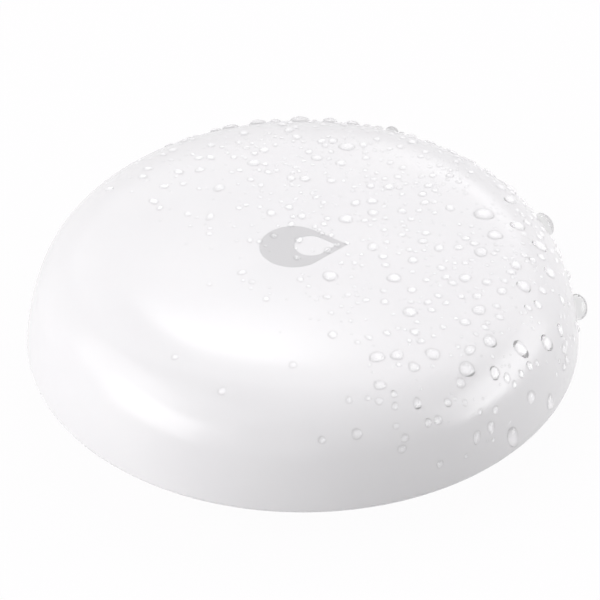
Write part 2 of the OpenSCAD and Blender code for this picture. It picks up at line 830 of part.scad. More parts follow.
// Spring contact on the cap: a pad under the board with two leaves
module negative_contact() {
  path = [[0, leaf_z], [leaf_root, leaf_z], [leaf_reach, leaf_touch_z],
          [leaf_reach + leaf_tip, leaf_touch_z + leaf_lift]];
  color("goldenrod") {
    for (s = [0, 180])
      rotate(s)
        translate([0, negative_w / 2, 0])
          rotate([90, 0, 0]) linear_extrude(negative_w) strip(path, strip_t);
    translate([-leaf_root, -leaf_root, board_z - strip_t]) cube([2 * leaf_root, 2 * leaf_root, strip_t]);
  }
}

// Contact at the side of the can: a tab under the board that bends down into a slot of the well
module positive_contact() {
  path = [[contact_bend_r + contact_tab, leaf_z], [contact_bend_r + strip_t, leaf_z],
          [contact_bend_r, well_top_z - strip_t], [contact_touch_r, contact_touch_z],
          [contact_touch_r + strip_t, contact_tip_z + strip_t]];
  color("goldenrod")
    rotate(90)
      translate([0, positive_w / 2, 0]) rotate([90, 0, 0]) linear_extrude(positive_w) strip(path, strip_t);
}

module battery_can() {
  in_r = cell_r - can_wall;
  color("silver")
    translate([0, 0, cell_z])
      rotate_extrude()
        polygon([[0, 0], [cell_r - can_edge, 0], [cell_r, can_edge], [cell_r, can_h - can_edge],
                 [cell_r - can_edge, can_h], [crimp_r, can_h], [crimp_r, can_h - can_wall],
                 [in_r, can_h - can_edge - can_wall], [in_r, can_wall], [0, can_wall]]);
}

module battery_gasket() {
  low_z = can_wall + seat_gap;
  out_r = cell_r - can_wall - seat_gap;
  color("dimgray")
    translate([0, 0, cell_z])
      rotate_extrude()
        polygon([[cap_r + seat_gap, low_z], [out_r, low_z], [out_r, can_h - can_edge - can_wall - seat_gap],
                 [crimp_r - seat_gap, can_h - can_wall - seat_gap], [crimp_r - seat_gap, can_h],
                 [cap_r + seat_gap, can_h]]);
}

module battery_cap() {
  color("lightgray")
    translate([0, 0, cell_z])
      rotate_extrude()
        polygon([[0, can_wall + seat_gap], [cap_r, can_wall + seat_gap], [cap_r, cell_h - can_edge],
                 [cap_r - can_edge, cell_h], [0, cell_h]]);
}

top_cover();
base_housing();
cover_seal();
battery_door();
door_seal();
feet();
sensing_probes();
probe_seals();
board_screws();
circuit_board();
radio_chip();
memory_chip();
crystal();
passives();
antenna_trace();
indicator_led();
light_pipe();
switch_body();
switch_plate();
switch_terminals();
switch_stem();
negative_contact();
positive_contact();
battery_can();
battery_gasket();
battery_cap();
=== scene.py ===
"""Round water leak sensor with drops of water on its cover, on a white table in soft light."""
import json
import math
import random

import bmesh
import bpy
from mathutils import Matrix, Vector


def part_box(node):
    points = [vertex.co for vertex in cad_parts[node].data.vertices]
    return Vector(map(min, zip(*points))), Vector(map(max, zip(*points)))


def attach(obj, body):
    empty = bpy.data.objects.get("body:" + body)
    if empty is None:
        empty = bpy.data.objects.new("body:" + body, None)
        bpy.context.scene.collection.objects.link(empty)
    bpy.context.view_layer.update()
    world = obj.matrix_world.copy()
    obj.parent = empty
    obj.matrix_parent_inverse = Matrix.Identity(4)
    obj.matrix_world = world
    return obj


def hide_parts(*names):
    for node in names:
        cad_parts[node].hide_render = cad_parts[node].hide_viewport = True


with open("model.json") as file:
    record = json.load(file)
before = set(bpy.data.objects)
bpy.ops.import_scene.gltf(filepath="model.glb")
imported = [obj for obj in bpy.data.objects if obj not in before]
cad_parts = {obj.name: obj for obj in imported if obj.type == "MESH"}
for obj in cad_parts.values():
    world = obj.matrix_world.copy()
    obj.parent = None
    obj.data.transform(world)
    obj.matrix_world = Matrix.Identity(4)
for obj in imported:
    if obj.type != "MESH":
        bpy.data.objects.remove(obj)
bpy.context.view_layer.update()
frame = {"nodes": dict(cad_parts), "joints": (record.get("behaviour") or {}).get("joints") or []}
NODES = frame["nodes"]
MM = 0.001
MERGE_GAP = 0.0005 * MM
SMOOTH_ANGLE = math.radians(32.0)

# Sizes of the cover, in millimetres: the box gives the overall ones, the rest repeat the solids
COVER_LOW, COVER_HIGH = (Vector(corner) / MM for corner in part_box("top_cover"))
BODY_R = COVER_HIGH.x
BODY_H = COVER_HIGH.z
COVER_Z = COVER_LOW.z
CROWN_R = 300.0
CROWN_DROP = 2.2
CROWN_LEAN = math.radians(38.0)
SHOULDER_R = 7.0
SHOULDER_LEAN = math.radians(19.0)
FLANK_LEAN = math.radians(4.5)
EDGE_R = 0.5
COVER_WALL = 1.6
SKIRT_INSET = 3.4
SKIRT_TOP_Z = 8.3
CORE_W = 0.6
CORE_H = 2.2

# How finely the cover is drawn: steps round it, along its outside and along its hollow. Crowding below 1
# brings the crown's points closer together towards its edge
TURN_STEPS = 224
CROWN_STEPS, SHOULDER_STEPS, FLANK_STEPS, EDGE_STEPS = 60, 24, 12, 10
HOLLOW_CROWN_STEPS, HOLLOW_SHOULDER_STEPS, HOLLOW_FLANK_STEPS = 24, 14, 4
CROWN_CROWDING = 0.4

# Outline of the cover: a crown that falls off ever faster, a shoulder arc and a flank arc, each in line
# with the next, down to the rounded widest edge
RIM_Z = COVER_Z + EDGE_R
FLANK_N = Vector((math.cos(FLANK_LEAN), math.sin(FLANK_LEAN)))
SHOULDER_N = Vector((math.cos(SHOULDER_LEAN), math.sin(SHOULDER_LEAN)))
CROWN_N = Vector((math.sin(CROWN_LEAN), math.cos(CROWN_LEAN)))
EDGE_C = Vector((BODY_R - EDGE_R, RIM_Z))
FLANK_P = EDGE_C + EDGE_R * FLANK_N
FLANK_RISE = BODY_H - CROWN_DROP - SHOULDER_R * (CROWN_N.y - SHOULDER_N.y) - FLANK_P.y
FLANK_R = FLANK_RISE / (SHOULDER_N.y - FLANK_N.y)
FLANK_C = FLANK_P - FLANK_R * FLANK_N
SHOULDER_C = FLANK_C + (FLANK_R - SHOULDER_R) * SHOULDER_N
CROWN_P = SHOULDER_C + SHOULDER_R * CROWN_N
CROWN_SAG = CROWN_P.x ** 2 / (2 * CROWN_R)
FALL = CROWN_DROP - CROWN_SAG
FALL_POWER = (math.tan(CROWN_LEAN) * CROWN_P.x - 2 * CROWN_SAG) / FALL

# Inside of the cover, in millimetres: post over the switch, ribs, socket of the light pipe and snap beads
POST_R = 1.5
POST_GAP = 0.02
RIB_T = 0.8
RIB_H = 1.2
RIB_REACH = 6.0
SOCKET_H = 2.0
SOCKET_WALL = 0.9
PIPE_GAP = 0.05
WINDOW_T = 0.7
ROD_STEPS = 48
SNAP_OUT = 0.35
SNAP_H = 0.8
SNAP_ROOT = 0.5
SNAP_ARC = math.radians(40.0)
SNAP_COUNT = 3
SNAP_STEPS = 20
SKIRT_LIP = 0.6

# Raised marks underneath, in millimetres: a pointer on the door, and on the base a dot where the door is
# locked and a ring where it comes out. The pointer's corners are rounded by a share of its radius
MARK_PROUD = 0.15
MARK_SINK = 0.1
MARK_EDGE = 0.06
MARK_STEPS = 32
POINTER_AT = 11.3
POINTER_R = 0.8
POINTER_ROUND = 0.2
BASE_MARK_AT = 14.4
BASE_MARK_R = 0.6
RING_W = 0.28
LOCKED_AT = math.radians(90.0)

# Sign on the crown, in millimetres; its opening is a share of its size
SIGN_R = 3.05
SIGN_TO_TIP = 4.85
SIGN_TIP_X = 4.0
SIGN_TIP_MARGIN = 0.95
SIGN_OPEN = 0.48
SIGN_Y = -0.55
SIGN_TURN = math.radians(4.0)
SIGN_PROUD = 0.012
SIGN_T = 0.03
SIGN_STEPS = 72
SIGN_SIDE_CUTS = 8
SIGN_BAND_CUTS = 6

# Beads of water: caps of a ball of radius 1, drawn in segments and rings, cut off at a height, sunk and
# bent a little out of round. The full ones on the outline are cut below the middle. The light that falls
# through a bead is painted by its height: painted shade at its foot and a painted brightening at its top
FINE_CAP = (22, 16)
PLAIN_CAP = (10, 8)
BEAD_CUT = 0.12
BEAD_SINK = 0.07
BEAD_WOBBLE = (0.05, 0.03)
BEAD_SWING = 0.4
BEAD_SMOOTH_ANGLE = math.radians(50.0)
FULL_CUT = -0.25
FULL_FROM = 0.8
FULL_LIFT = 0.6
FLAT_SLOPE = 0.02
BEAD_PAINTED_LIGHT = (0.52, 1.62)

# Large beads: where each stands in the frame and its width there, in pixels, then its length down the slope
# and its height, over its radius
PX_MM = 1 / 11.06
LARGE_BEADS = (
    (484, 214, 20, 1.05, 0.48), (540, 246, 14, 1.3, 0.56), (550, 273, 12, 1.35, 0.56),
    (524, 286, 16, 1.0, 0.48), (465, 278, 13, 1.0, 0.48), (481, 252, 16, 0.8, 0.48),
    (479, 310, 15, 0.9, 0.48), (433, 354, 15, 1.0, 0.52), (397, 355, 14, 0.95, 0.48),
    (377, 357, 16, 0.9, 0.48), (414, 367, 12, 1.0, 0.52), (467, 369, 17, 1.0, 0.52),
    (461, 383, 11, 1.0, 0.52), (380, 385, 13, 0.85, 0.48), (379, 401, 9, 0.9, 0.48),
    (368, 398, 7, 0.9, 0.48), (349, 400, 8, 1.0, 0.48), (357, 434, 11, 1.0, 0.52),
    (405, 438, 9, 1.0, 0.52), (402, 449, 10, 0.9, 0.52), (396, 426, 7, 1.0, 0.48),
    (438, 420, 10, 1.0, 0.48), (477, 437, 10, 1.5, 0.56), (491, 427, 10, 1.4, 0.48),
    (513, 437, 15, 1.7, 0.6), (531, 397, 14, 1.0, 0.52), (550, 402, 12, 1.5, 0.56),
    (495, 373, 12, 1.2, 0.48), (507, 378, 9, 1.2, 0.48), (521, 349, 14, 1.5, 0.52),
    (547, 343, 14, 1.5, 0.52), (490, 341, 16, 0.9, 0.48), (470, 350, 15, 0.7, 0.44),
    (421, 341, 9, 0.9, 0.48), (410, 312, 15, 1.0, 0.44), (465, 322, 12, 0.9, 0.48),
    (443, 327, 8, 0.9, 0.48), (428, 302, 10, 0.8, 0.44), (446, 303, 9, 0.8, 0.44),
    (477, 296, 11, 0.8, 0.44), (502, 291, 13, 0.75, 0.44), (487, 282, 11, 0.9, 0.44),
    (446, 277, 10, 0.8, 0.44), (413, 260, 12, 0.9, 0.44), (439, 248, 12, 0.85, 0.44),
    (373, 247, 13, 0.95, 0.48), (394, 278, 14, 1.1, 0.4), (412, 290, 10, 1.0, 0.4),
    (348, 295, 7, 1.0, 0.48), (330, 276, 16, 1.0, 0.44), (327, 297, 9, 0.8, 0.44),
    (366, 300, 8, 0.9, 0.44), (384, 230, 7, 1.0, 0.48), (346, 219, 15, 1.0, 0.44),
    (373, 213, 12, 0.9, 0.44), (402, 211, 11, 0.8, 0.44), (389, 187, 12, 0.9, 0.44),
    (372, 201, 12, 0.9, 0.4), (398, 177, 9, 0.9, 0.44), (347, 147, 17, 0.8, 0.48),
    (317, 158, 13, 0.8, 0.48), (341, 163, 12, 0.9, 0.44), (366, 158, 9, 0.9, 0.44),
    (305, 179, 12, 0.7, 0.44), (331, 181, 10, 0.8, 0.44), (264, 150, 11, 1.0, 0.44),
    (246, 148, 8, 0.8, 0.44), (254, 163, 14, 0.8, 0.44), (219, 188, 15, 0.7, 0.48),
    (200, 170, 12, 0.6, 0.44), (199, 158, 11, 0.7, 0.44), (188, 214, 9, 0.9, 0.44),
    (210, 217, 13, 0.6, 0.4), (246, 205, 7, 0.9, 0.4), (274, 236, 9, 1.0, 0.48),
    (297, 258, 8, 1.1, 0.52), (252, 282, 8, 0.9, 0.44), (293, 365, 9, 1.0, 0.48),
    (222, 391, 9, 1.0, 0.44), (175, 357, 8, 1.0, 0.44), (322, 440, 8, 1.0, 0.48),
    (160, 208, 9, 0.8, 0.4), (400, 147, 9, 0.8, 0.44), (450, 208, 12, 0.8, 0.4),
    (495, 235, 16, 1.0, 0.4), (518, 226, 14, 1.2, 0.44), (510, 200, 13, 1.2, 0.48),
    (516, 265, 14, 0.9, 0.4), (560, 330, 10, 1.4, 0.48), (562, 300, 9, 1.4, 0.48),
    (440, 464, 8, 1.2, 0.44), (466, 456, 5, 1.0, 0.56),
)

# Beads on the outline that the camera sees: azimuth in degrees, radius in millimetres, then length down the
# slope and height, over the radius
EDGE_BEADS = (
    (1.8, 0.35, 1.2, 0.6), (5.8, 1.15, 1.0, 1.05), (10.8, 0.5, 1.1, 0.65), (14.5, 0.45, 1.2, 0.6),
    (16.8, 0.4, 1.2, 0.55), (21.8, 1.05, 1.15, 0.9), (26.8, 0.35, 1.0, 0.6), (29.5, 0.45, 1.0, 0.5),
    (33.8, 0.7, 1.0, 0.5), (36.8, 0.5, 1.0, 0.5), (41.0, 0.6, 1.0, 0.45), (46.2, 0.5, 1.0, 0.45),
    (52.2, 0.5, 1.0, 0.45), (57.7, 0.55, 1.0, 0.45), (62.5, 0.5, 1.0, 0.5), (65.2, 0.3, 1.0, 0.7),
    (67.8, 0.65, 1.0, 0.75), (71.0, 0.45, 1.0, 0.6), (74.0, 0.4, 1.0, 0.6), (77.8, 0.7, 1.0, 0.5),
    (83.2, 0.75, 1.0, 0.55), (90.8, 0.95, 0.9, 0.5), (96.8, 0.55, 1.0, 0.55), (101.2, 0.8, 1.0, 0.5),
    (108.0, 0.75, 1.0, 0.45), (111.8, 0.55, 1.0, 0.45),
)

# Small beads, scattered by chance: spans of radius in millimetres, of length down the slope and of height,
# and how the chance of a bead rises from the middle to the right and to the rear
BEAD_SEED = 7
SMALL_TRIES = 3400
SMALL_R = (0.14, 0.46)
SMALL_ALONG = (0.85, 1.25)
SMALL_HEIGHT = (0.4, 0.6)
BEAD_SPACING = 1.1
WET_MARGIN = 0.3
WET_MIDDLE = 0.42
WET_SLOPE = 0.032
WET_REAR = 0.8

# Camera: it looks along +Y from above; the aim is where the middle of the picture falls
VIEW_ELEVATION = math.radians(37.6)
VIEW_DISTANCE = 500.0
VIEW_LENS = 331.8
VIEW_NEAR = 0.01
AIM_Z = 7.0
AIM_UP = 1.175
AIM_RIGHT = -0.25
FRAME_PX = 600
SENSOR = 36.0

# Textures, in cells to the metre; a track is a share of a cell wide. Colour and roughness follow the noise
# over its middle span
LINES_SCALE = 300.0
TARNISH_SCALE = 220.0
BOARD_MOTTLE_SCALE = 160.0
TRACK_W = 0.12
MASK_SPAN = (0.3, 0.7)

# Floor and world, in metres. The floor has one tint for the light that bounces off it and one for the
# camera; rays that have met no matt surface are below the first bounce
FLOOR_SIZE = 6.0
FLOOR_GAP = 0.02 * MM
FLOOR_GLOW = 0.96
FLOOR_TINTS = (0.15, 0.9)
FLOOR_WHITE = (1.0, 0.995, 1.0, 1.0)
WORLD_DIM = (0.3, 0.3, 0.302, 1.0)
WORLD_WHITE = (1.0, 1.0, 1.0, 1.0)
FIRST_BOUNCE = 0.5

# Lamps, all at one distance from a point in the sensor: azimuth and elevation in degrees, width and height
# in metres, watts
LAMP_DISTANCE = 0.6
LAMP_AIM_Z = 0.01
SOFTBOXES = (
    ("left_softbox", -118, 15, 0.4, 0.3, 1.05),
    ("high_left_softbox", -95, 30, 0.5, 0.4, 0.81),
    ("front_left_softbox", -122, 40, 0.6, 0.5, 0.8),
    ("front_softbox", -150, 14, 0.9, 0.35, 0.59),
    ("rear_wide_softbox", 10, 50, 1.2, 0.6, 1.8),
    ("right_wide_softbox", 92, 14, 0.7, 0.4, 1.5),
    ("right_softbox", 94, 16, 0.36, 0.24, 0.6),
    ("low_right_softbox", 102, 3, 0.3, 0.1, 0.25),
    ("rear_softbox", -6, 48, 0.11, 0.1, 0.133),
    ("rear_right_softbox", 14, 24, 0.2, 0.08, 0.08),
    ("under_left_softbox", -128, -43, 0.32, 0.3, 0.95),
    ("under_softbox", -60, -86, 0.25, 0.25, 1.0),
)


# Modelling helpers
def nothing_selected():
    if bpy.context.object and bpy.context.object.mode != "OBJECT":
        bpy.ops.object.mode_set(mode="OBJECT")
    bpy.ops.object.select_all(action="DESELECT")


def only_selected(piece):
    nothing_selected()
    piece.select_set(True)
    bpy.context.view_layer.objects.active = piece


def blank_piece(name):
    """An empty piece in edit mode."""
    nothing_selected()
    bpy.ops.mesh.primitive_plane_add(size=MM, enter_editmode=True, location=(0, 0, 0))
    bpy.ops.mesh.delete(type="VERT")
    bpy.context.object.name = name
    return bpy.context.object


class Pen:
    """Draws a section in the XZ plane, in millimetres, from a plane merged to one vertex."""

    def __init__(self, name, x, z):
        nothing_selected()
        bpy.ops.mesh.primitive_plane_add(size=MM, enter_editmode=True, location=(0, 0, 0))
        bpy.context.object.name = name
        bpy.ops.mesh.merge(type="CENTER")
        bpy.ops.transform.translate(value=(x * MM, 0, z * MM))
        self.at = Vector((x, z))

    def line(self, x, z):
        step = Vector((x, z)) - self.at
        bpy.ops.mesh.extrude_region_move(
            TRANSFORM_OT_translate={"value": (step.x * MM, 0, step.y * MM)})
        self.at = Vector((x, z))
        return self

    def arc(self, centre, turn, steps):
        """Turns about centre, clockwise as seen with X to the right and Z up."""
        bpy.ops.mesh.spin(steps=steps, angle=-turn, center=(centre[0] * MM, 0, centre[1] * MM),
                          axis=(0, 1, 0))
        offset = self.at - Vector(centre)
        c, s = math.cos(turn), math.sin(turn)
        self.at = Vector(centre) + Vector((offset.x * c + offset.y * s, offset.y * c - offset.x * s))

    def turned(self, steps):
        """Spins the section about the upright axis into a closed piece."""
        bpy.ops.mesh.select_all(action="SELECT")
        bpy.ops.mesh.spin(steps=steps, angle=2 * math.pi, center=(0, 0, 0), axis=(0, 0, 1))
        close_mesh()
        return bpy.context.object


def close_mesh():
    """Merges what coincides and points the faces outwards; leaves edit mode."""
    bpy.ops.mesh.select_all(action="SELECT")
    bpy.ops.mesh.remove_doubles(threshold=MERGE_GAP)
    bpy.ops.mesh.normals_make_consistent(inside=False)
    bpy.ops.object.mode_set(mode="OBJECT")


def smooth(piece, angle=SMOOTH_ANGLE):
    only_selected(piece)
    bpy.ops.object.shade_smooth_by_angle(angle=angle)


def dress(piece, material, body):
    piece.data.materials.clear()
    piece.data.materials.append(material)
    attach(piece, body)


def between(span, share):
    return span[0] + (span[1] - span[0]) * share


# Camera
def photo_camera():
    """Places the camera by its aim and elevation; returns its place and its axes."""
    right = Vector((1, 0, 0))
    back = Vector((0, -math.cos(VIEW_ELEVATION), math.sin(VIEW_ELEVATION)))
    up = Vector((0, math.sin(VIEW_ELEVATION), math.cos(VIEW_ELEVATION)))
    aim = Vector((0, 0, AIM_Z)) + AIM_UP * up + AIM_RIGHT * right
    eye = aim + VIEW_DISTANCE * back
    nothing_selected()
    bpy.ops.object.camera_add(location=eye * MM, rotation=(math.pi / 2 - VIEW_ELEVATION, 0, 0))
    camera = bpy.context.object
    camera.data.lens = VIEW_LENS
    camera.data.sensor_width = SENSOR
    camera.data.clip_start = VIEW_NEAR
    bpy.context.scene.camera = camera
    return eye, right, up, back


EYE, RIGHT, UP, BACK = photo_camera()


def on_cover(shell, px, py):
    """Point and outward normal where a pixel of the 600 x 600 frame meets the cover, in metres."""
    per_px = SENSOR / VIEW_LENS / FRAME_PX
    ray = (-BACK + (px - FRAME_PX / 2) * per_px * RIGHT + (FRAME_PX / 2 - py) * per_px * UP).normalized()
    hit, place, normal, _ = shell.ray_cast(EYE * MM, ray)
    return (place, normal) if hit else None


# Shader helpers
def feed(tree, socket, value):
    """Gives a socket a number, or links another socket to it."""
    if isinstance(value, float):
        socket.default_value = value
    else:
        tree.links.new(value, socket)


def maths(tree, operation, first, second=0.0):
    node = tree.nodes.new("ShaderNodeMath")
    node.operation = operation
    feed(tree, node.inputs[0], first)
    feed(tree, node.inputs[1], second)
    return node.outputs["Value"]


def ranged(tree, value, target, source=(0.0, 1.0)):
    """A value mapped from the source span to the target span."""
    node = tree.nodes.new("ShaderNodeMapRange")
    for label, number in zip(("From Min", "From Max", "To Min", "To Max"), (*source, *target)):
        node.inputs[label].default_value = number
    tree.links.new(value, node.inputs["Value"])
    return node.outputs["Result"]


def mixed(tree, share, first, second):
    node = tree.nodes.new("ShaderNodeMixShader")
    for socket, value in zip(node.inputs, (share, first, second)):
        tree.links.new(value, socket)
    return node.outputs["Shader"]


def noise(tree, place, scale, detail=2.0):
    node = tree.nodes.new("ShaderNodeTexNoise")
    node.inputs["Detail"].default_value = detail
    tree.links.new(place, node.inputs["Vector"])
    feed(tree, node.inputs["Scale"], scale)
    return node.outputs["Fac"]


# Shader groups
def new_group(name, inputs, outputs):
    """A group with its input node, its output node and a socket with the place on the object."""
    group = bpy.data.node_groups.new(name, "ShaderNodeTree")
    for label, value in inputs:
        socket = group.interface.new_socket(label, in_out="INPUT", socket_type="NodeSocketFloat")
        socket.default_value = value
    for label in outputs:
        group.interface.new_socket(label, in_out="OUTPUT", socket_type="NodeSocketFloat")
    given, out = group.nodes.new("NodeGroupInput"), group.nodes.new("NodeGroupOutput")
    return group, given, out, group.nodes.new("ShaderNodeTexCoord").outputs["Object"]


def mould_grain():
    """Fine grain of a moulded surface: a height for bump and a broad mottle."""
    group, given, out, place = new_group(
        "mould_grain", (("Grain Scale", 2500.0), ("Mottle Scale", 90.0)), ("Height", "Mottle"))
    group.links.new(noise(group, place, given.outputs["Grain Scale"], 3.0), out.inputs["Height"])
    group.links.new(noise(group, place, given.outputs["Mottle Scale"], 4.0), out.inputs["Mottle"])
    return group


def metal_lines():
    """Fine lines of worked metal and a broad tarnish."""
    group, given, out, place = new_group(
        "metal_lines", (("Across X", 1.0), ("Across Y", 1.0), ("Across Z", 1.0)), ("Lines", "Tarnish"))
    stretch = group.nodes.new("ShaderNodeCombineXYZ")
    for axis in "XYZ":
        group.links.new(given.outputs["Across " + axis], stretch.inputs[axis])
    scaled = group.nodes.new("ShaderNodeVectorMath")
    scaled.operation = "MULTIPLY"
    group.links.new(place, scaled.inputs[0])
    group.links.new(stretch.outputs["Vector"], scaled.inputs[1])
    group.links.new(noise(group, scaled.outputs["Vector"], LINES_SCALE, 3.0), out.inputs["Lines"])
    group.links.new(noise(group, place, TARNISH_SCALE), out.inputs["Tarnish"])
    return group


def turned_rings():
    """Rings that a lathe leaves round an upright axis at plus and minus a place on X, and a broad
    tarnish."""
    group, given, out, place = new_group(
        "turned_rings", (("Axis X", 0.0), ("Fineness", 9000.0)), ("Lines", "Tarnish"))
    apart = group.nodes.new("ShaderNodeSeparateXYZ")
    group.links.new(place, apart.inputs["Vector"])
    flat = group.nodes.new("ShaderNodeCombineXYZ")
    side = maths(group, "ABSOLUTE", apart.outputs["X"])
    group.links.new(maths(group, "SUBTRACT", side, given.outputs["Axis X"]), flat.inputs["X"])
    group.links.new(apart.outputs["Y"], flat.inputs["Y"])
    radius = group.nodes.new("ShaderNodeVectorMath")
    radius.operation = "LENGTH"
    group.links.new(flat.outputs["Vector"], radius.inputs[0])
    rings = group.nodes.new("ShaderNodeTexNoise")
    rings.noise_dimensions = "1D"
    rings.inputs["Detail"].default_value = 2.0
    group.links.new(radius.outputs["Value"], rings.inputs["W"])
    group.links.new(given.outputs["Fineness"], rings.inputs["Scale"])
    group.links.new(rings.outputs["Fac"], out.inputs["Lines"])
    group.links.new(noise(group, place, TARNISH_SCALE), out.inputs["Tarnish"])
    return group


def copper_tracks():
    """Tracks that show through a board's lacquer: square cells with lines between them."""
    group, given, out, place = new_group("copper_tracks", (("Track Scale", 420.0),), ("Tracks", "Mottle"))
    cells = group.nodes.new("ShaderNodeTexVoronoi")
    cells.distance = "CHEBYCHEV"
    cells.feature = "F1"
    group.links.new(place, cells.inputs["Vector"])
    group.links.new(given.outputs["Track Scale"], cells.inputs["Scale"])
    lines = maths(group, "PINGPONG", cells.outputs["Distance"], TRACK_W)
    group.links.new(ranged(group, lines, (0.0, 1.0), (0.0, TRACK_W)), out.inputs["Tracks"])
    group.links.new(noise(group, place, BOARD_MOTTLE_SCALE), out.inputs["Mottle"])
    return group


MOULD_GRAIN = mould_grain()
METAL_LINES = metal_lines()
TURNED_RINGS = turned_rings()
COPPER_TRACKS = copper_tracks()


# Materials
class Finish:
    """A material with one Principled BSDF, and short ways to feed it."""

    def __init__(self, name, **sockets):
        self.material = bpy.data.materials.new(name)
        self.material.use_nodes = True
        self.tree = self.material.node_tree
        self.shader = self.tree.nodes["Principled BSDF"]
        for label, value in sockets.items():
            self.shader.inputs[label.replace("_", " ")].default_value = value

    def group(self, tree, **values):
        node = self.tree.nodes.new("ShaderNodeGroup")
        node.node_tree = tree
        for label, value in values.items():
            node.inputs[label.replace("_", " ")].default_value = value
        return node

    def colours(self, mask, low, high, span=MASK_SPAN):
        """Base colour from low to high as the mask goes over its span."""
        ramp = self.tree.nodes.new("ShaderNodeValToRGB")
        for element, at, colour in zip(ramp.color_ramp.elements, span, (low, high)):
            element.position = at
            element.color = (*colour, 1.0)
        self.tree.links.new(mask, ramp.inputs["Fac"])
        self.tree.links.new(ramp.outputs["Color"], self.shader.inputs["Base Color"])

    def roughness(self, mask, low, high):
        rough = ranged(self.tree, mask, (low, high), MASK_SPAN)
        self.tree.links.new(rough, self.shader.inputs["Roughness"])

    def bump(self, height, strength, depth):
        """Relief, its depth in millimetres."""
        bump = self.tree.nodes.new("ShaderNodeBump")
        bump.inputs["Strength"].default_value = strength
        bump.inputs["Distance"].default_value = depth * MM
        self.tree.links.new(height, bump.inputs["Height"])
        self.tree.links.new(bump.outputs["Normal"], self.shader.inputs["Normal"])


def moulded(name, low, high, rough, grain_scale, grain_depth):
    finish = Finish(name)
    grain = finish.group(MOULD_GRAIN, Grain_Scale=grain_scale)
    finish.colours(grain.outputs["Mottle"], low, high)
    finish.roughness(grain.outputs["Mottle"], *rough)
    finish.bump(grain.outputs["Height"], strength=0.3, depth=grain_depth)
    return finish.material


def brushed(name, low, high, rough, stretch):
    """Bare metal with fine lines; stretch squeezes the lines along each axis."""
    finish = Finish(name, Metallic=1.0)
    lines = finish.group(METAL_LINES, Across_X=stretch[0], Across_Y=stretch[1], Across_Z=stretch[2])
    finish.colours(lines.outputs["Tarnish"], low, high)
    finish.roughness(lines.outputs["Lines"], *rough)
    finish.bump(lines.outputs["Lines"], strength=0.15, depth=0.004)
    return finish.material


def turned_metal(name, low, high, rough, axis_x):
    """Bare metal turned on a lathe about an upright axis at plus and minus axis_x, in millimetres."""
    finish = Finish(name, Metallic=1.0)
    rings = finish.group(TURNED_RINGS, Axis_X=axis_x * MM)
    finish.colours(rings.outputs["Tarnish"], low, high)
    finish.roughness(rings.outputs["Lines"], *rough)
    finish.bump(rings.outputs["Lines"], strength=0.25, depth=0.006)
    return finish.material


def lacquered_board():
    finish = Finish("board_green")
    tracks = finish.group(COPPER_TRACKS)
    finish.colours(tracks.outputs["Tracks"], (0.012, 0.10, 0.045), (0.03, 0.19, 0.085), span=(0.45, 0.6))
    finish.roughness(tracks.outputs["Mottle"], 0.28, 0.42)
    finish.bump(tracks.outputs["Tracks"], strength=0.3, depth=0.02)
    return finish.material


def clear_pipe():
    finish = Finish("pipe_clear", IOR=1.49, Transmission_Weight=1.0)
    grain = finish.group(MOULD_GRAIN, Grain_Scale=2400.0)
    finish.colours(grain.outputs["Mottle"], (0.93, 0.94, 0.94), (0.98, 0.98, 0.98))
    finish.roughness(grain.outputs["Mottle"], 0.03, 0.1)
    return finish.material


def clear_water():
    """Water that lets the lamps light the cover under it, with painted shade at its foot and painted light
    at its top.
    """
    finish = Finish("water", Roughness=0.0, IOR=1.333, Transmission_Weight=1.0)
    ripple = finish.group(MOULD_GRAIN, Mottle_Scale=700.0)
    finish.bump(ripple.outputs["Mottle"], strength=0.1, depth=0.05)
    tree = finish.tree
    path = tree.nodes.new("ShaderNodeLightPath")
    lighting = maths(tree, "MAXIMUM", path.outputs["Is Shadow Ray"], path.outputs["Is Diffuse Ray"])
    # What shadow and diffuse rays see through is painted light: below 1 at a bead's foot, above 1 at its
    # top
    lift = tree.nodes.new("ShaderNodeAttribute")
    lift.attribute_name = "lift"
    through = tree.nodes.new("ShaderNodeBsdfTransparent")
    tree.links.new(ranged(tree, lift.outputs["Fac"], BEAD_PAINTED_LIGHT), through.inputs["Color"])
    water = mixed(tree, lighting, finish.shader.outputs["BSDF"], through.outputs["BSDF"])
    tree.links.new(water, tree.nodes["Material Output"].inputs["Surface"])
    return finish.material


COVER_WHITE = moulded("cover_white", (0.845, 0.832, 0.85), (0.868, 0.855, 0.87), (0.17, 0.24),
                      1400.0, 0.004)
BASE_WHITE = moulded("base_white", (0.80, 0.80, 0.80), (0.84, 0.84, 0.838), (0.42, 0.52), 5200.0, 0.02)
DOOR_WHITE = moulded("door_white", (0.79, 0.79, 0.79), (0.83, 0.83, 0.828), (0.38, 0.48), 5200.0, 0.02)
SIGN_GREY = moulded("sign_grey", (0.615, 0.605, 0.62), (0.665, 0.655, 0.67), (0.3, 0.4), 4000.0, 0.003)
FOOT_RUBBER = moulded("foot_rubber", (0.60, 0.60, 0.59), (0.66, 0.66, 0.65), (0.55, 0.7), 3600.0, 0.02)
SEAL_GREY = moulded("seal_grey", (0.035, 0.036, 0.038), (0.055, 0.056, 0.058), (0.5, 0.65), 3600.0, 0.01)
CHIP_BLACK = moulded("chip_black", (0.018, 0.018, 0.02), (0.03, 0.03, 0.033), (0.45, 0.6), 9000.0, 0.01)
SWITCH_BLACK = moulded("switch_black", (0.02, 0.02, 0.02), (0.035, 0.035, 0.035), (0.4, 0.5),
                       6000.0, 0.01)
STEM_WHITE = moulded("stem_white", (0.7, 0.68, 0.62), (0.76, 0.74, 0.68), (0.35, 0.45), 5000.0, 0.01)
PASSIVE_BODY = moulded("passive_body", (0.42, 0.30, 0.18), (0.52, 0.38, 0.24), (0.4, 0.55), 7000.0, 0.01)
LED_BODY = moulded("led_body", (0.82, 0.79, 0.62), (0.86, 0.84, 0.70), (0.25, 0.35), 5000.0, 0.005)
